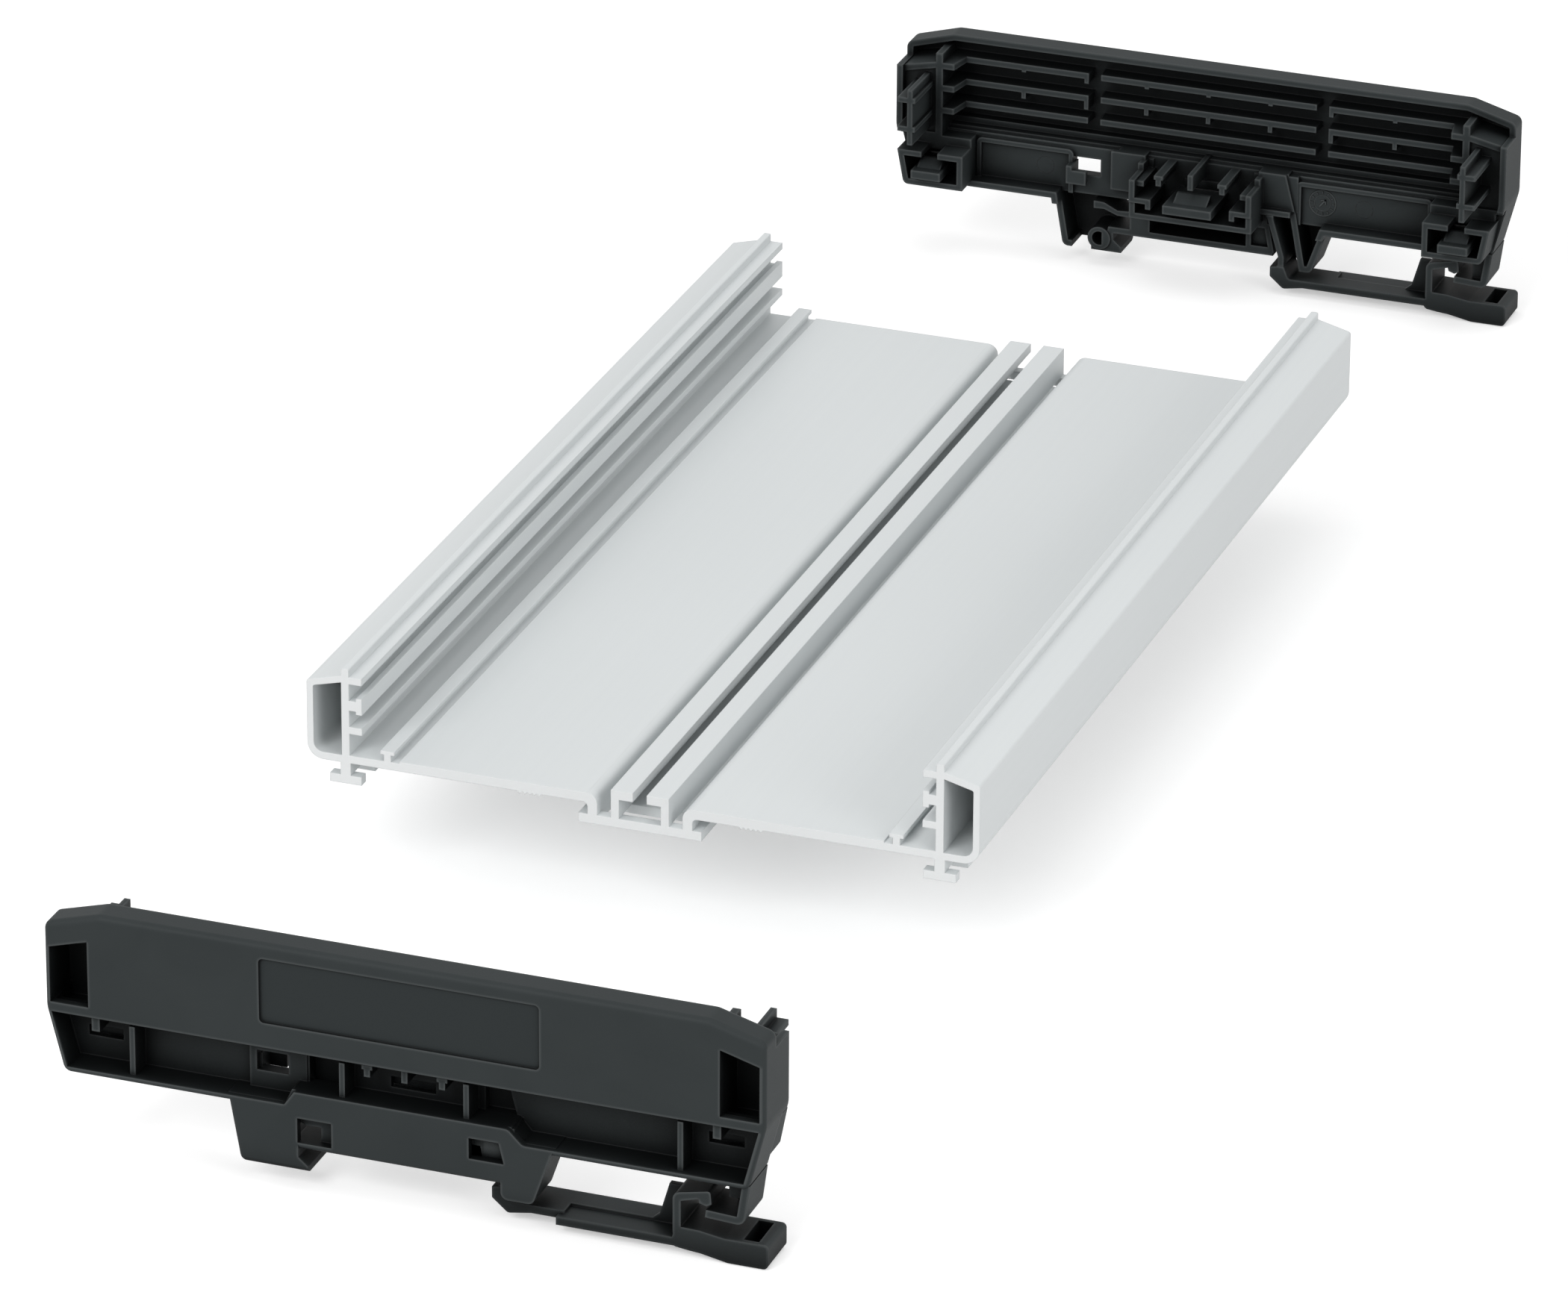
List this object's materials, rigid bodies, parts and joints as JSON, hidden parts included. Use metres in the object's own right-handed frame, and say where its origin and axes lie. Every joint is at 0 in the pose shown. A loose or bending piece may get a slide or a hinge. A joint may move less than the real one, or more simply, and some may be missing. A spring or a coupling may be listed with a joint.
{
  "type": "din rail enclosure",
  "caption": "Open extruded profile that holds circuit boards, with moulded end pieces that snap onto its ends and clip onto a 35 mm mounting rail.",
  "frame": {"origin": "middle of the mounting rail's front face, at mid-length, on the plane of the feet's rail seats", "axes": "+X across the rail towards the foot latches, +Y along the rail from the front end piece to the rear one, +Z away from the rail"},
  "size_m": [0.1282, 0.435, 0.0444],
  "materials": {
    "profile_plastic": "light grey extruded plastic, satin",
    "moulded_plastic": "charcoal moulded plastic, finely textured"
  },
  "bodies": {
    "profile": {"base_profile": "profile_plastic"},
    "front_end": {"front_side_element": "moulded_plastic", "front_latch_arm": "moulded_plastic"},
    "front_latch": {"front_foot_latch": "moulded_plastic"},
    "rear_end": {"rear_side_element": "moulded_plastic", "rear_latch_arm": "moulded_plastic"},
    "rear_latch": {"rear_foot_latch": "moulded_plastic"}
  },
  "joints": [
    {"name": "front_push_on", "type": "slide", "parent": "profile", "child": "front_end", "axis": [0, 1, 0], "range_m": [0, 0.1]},
    {"name": "rear_push_on", "type": "slide", "parent": "profile", "child": "rear_end", "axis": [0, -1, 0], "range_m": [0, 0.1]},
    {"name": "front_latch_pull", "type": "slide", "parent": "front_end", "child": "front_latch", "axis": [1, 0, 0], "range_m": [0, 0.002], "stiffness_N_per_m": 3000, "deforming": ["front_latch_arm"]},
    {"name": "rear_latch_pull", "type": "slide", "parent": "rear_end", "child": "rear_latch", "axis": [1, 0, 0], "range_m": [0, 0.002], "stiffness_N_per_m": 3000, "deforming": ["rear_latch_arm"]}
  ]
}
